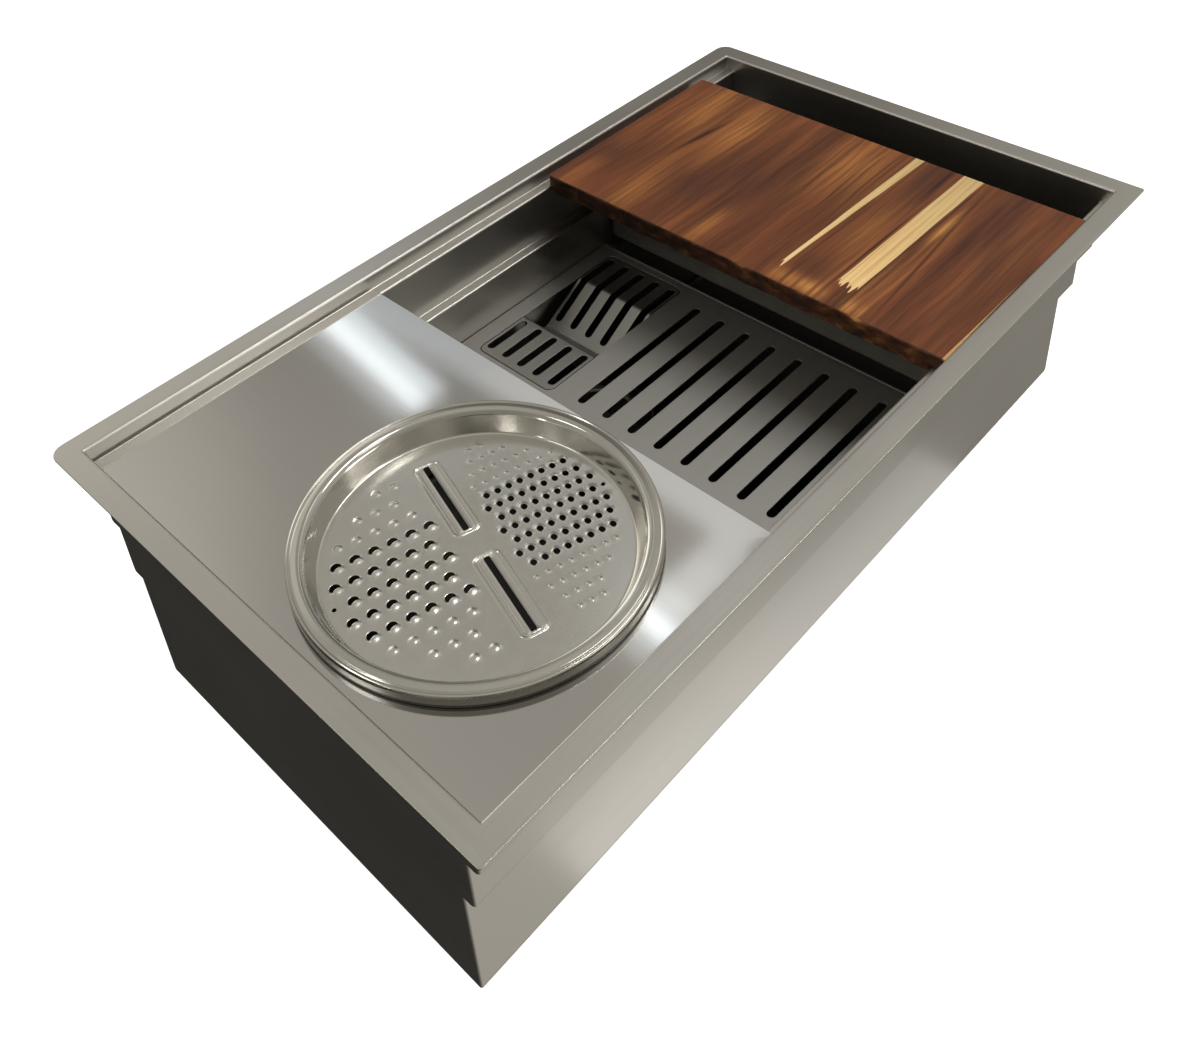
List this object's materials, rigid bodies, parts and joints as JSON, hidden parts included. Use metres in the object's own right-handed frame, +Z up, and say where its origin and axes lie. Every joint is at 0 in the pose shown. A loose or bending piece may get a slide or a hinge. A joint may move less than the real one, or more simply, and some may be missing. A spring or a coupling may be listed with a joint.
{
  "type": "workstation kitchen sink",
  "caption": "Rectangular steel sink bowl with stepped ledges, cover plate, hanging round grater tray, wooden board, slotted drain platform and basket strainer.",
  "frame": {"origin": "centre of the rim in the plane of the rim's top face, where the worktop holds the sink", "axes": "+X along the sink towards the end with the wooden board, +Y towards the rear long wall with the drain, +Z up"},
  "size_m": [0.838, 0.482, 0.3791],
  "materials": {
    "brushed_steel": "brushed along its length, warm grey",
    "satin_steel": "fine satin",
    "platform_steel": "fine matt brushed",
    "polished_steel": "polished, slightly satin",
    "walnut": "oiled dark hardwood with pale sapwood streaks",
    "rubber": "matt black",
    "nylon": "off-white"
  },
  "bodies": {
    "sink_bowl": {"front_wall": "brushed_steel", "back_wall": "brushed_steel", "left_end_wall": "brushed_steel", "right_end_wall": "brushed_steel", "basin_floor": "brushed_steel", "drain_body": "polished_steel", "drain_gasket": "rubber", "friction_washer": "nylon", "lock_nut": "polished_steel", "tailpiece_washer": "nylon", "tailpiece": "polished_steel", "coupling_nut": "polished_steel"},
    "cover_plate": {"cover_plate": "satin_steel"},
    "grater_tray": {"grater_tray": "polished_steel"},
    "cutting_board": {"cutting_board": "walnut"},
    "drain_platform": {"drain_platform": "platform_steel"},
    "strainer_grate": {"strainer_grate": "platform_steel"},
    "colander_tray": {"colander_tray": "platform_steel"},
    "strainer_basket": {"strainer_basket": "polished_steel", "basket_seal": "rubber", "basket_post": "polished_steel"}
  },
  "joints": [
    {"name": "cover_plate_slide", "type": "slide", "parent": "sink_bowl", "child": "cover_plate", "axis": [1, 0, 0], "range_m": [0, 0.115]},
    {"name": "grater_tray_lift", "type": "slide", "parent": "cover_plate", "child": "grater_tray", "axis": [0, 0, 1], "range_m": [0, 0.12]},
    {"name": "board_slide", "type": "slide", "parent": "sink_bowl", "child": "cutting_board", "axis": [1, 0, 0], "range_m": [-0.1, 0.05]},
    {"name": "platform_slide", "type": "slide", "parent": "sink_bowl", "child": "drain_platform", "axis": [1, 0, 0], "range_m": [-0.24, 0]},
    {"name": "grate_lift", "type": "slide", "parent": "drain_platform", "child": "strainer_grate", "axis": [0, 0, 1], "range_m": [0, 0.085]},
    {"name": "colander_slide", "type": "slide", "parent": "sink_bowl", "child": "colander_tray", "axis": [1, 0, 0], "range_m": [0, 0.05]},
    {"name": "basket_lift", "type": "slide", "parent": "sink_bowl", "child": "strainer_basket", "axis": [0, 0, 1], "range_m": [0, 0.05]}
  ]
}
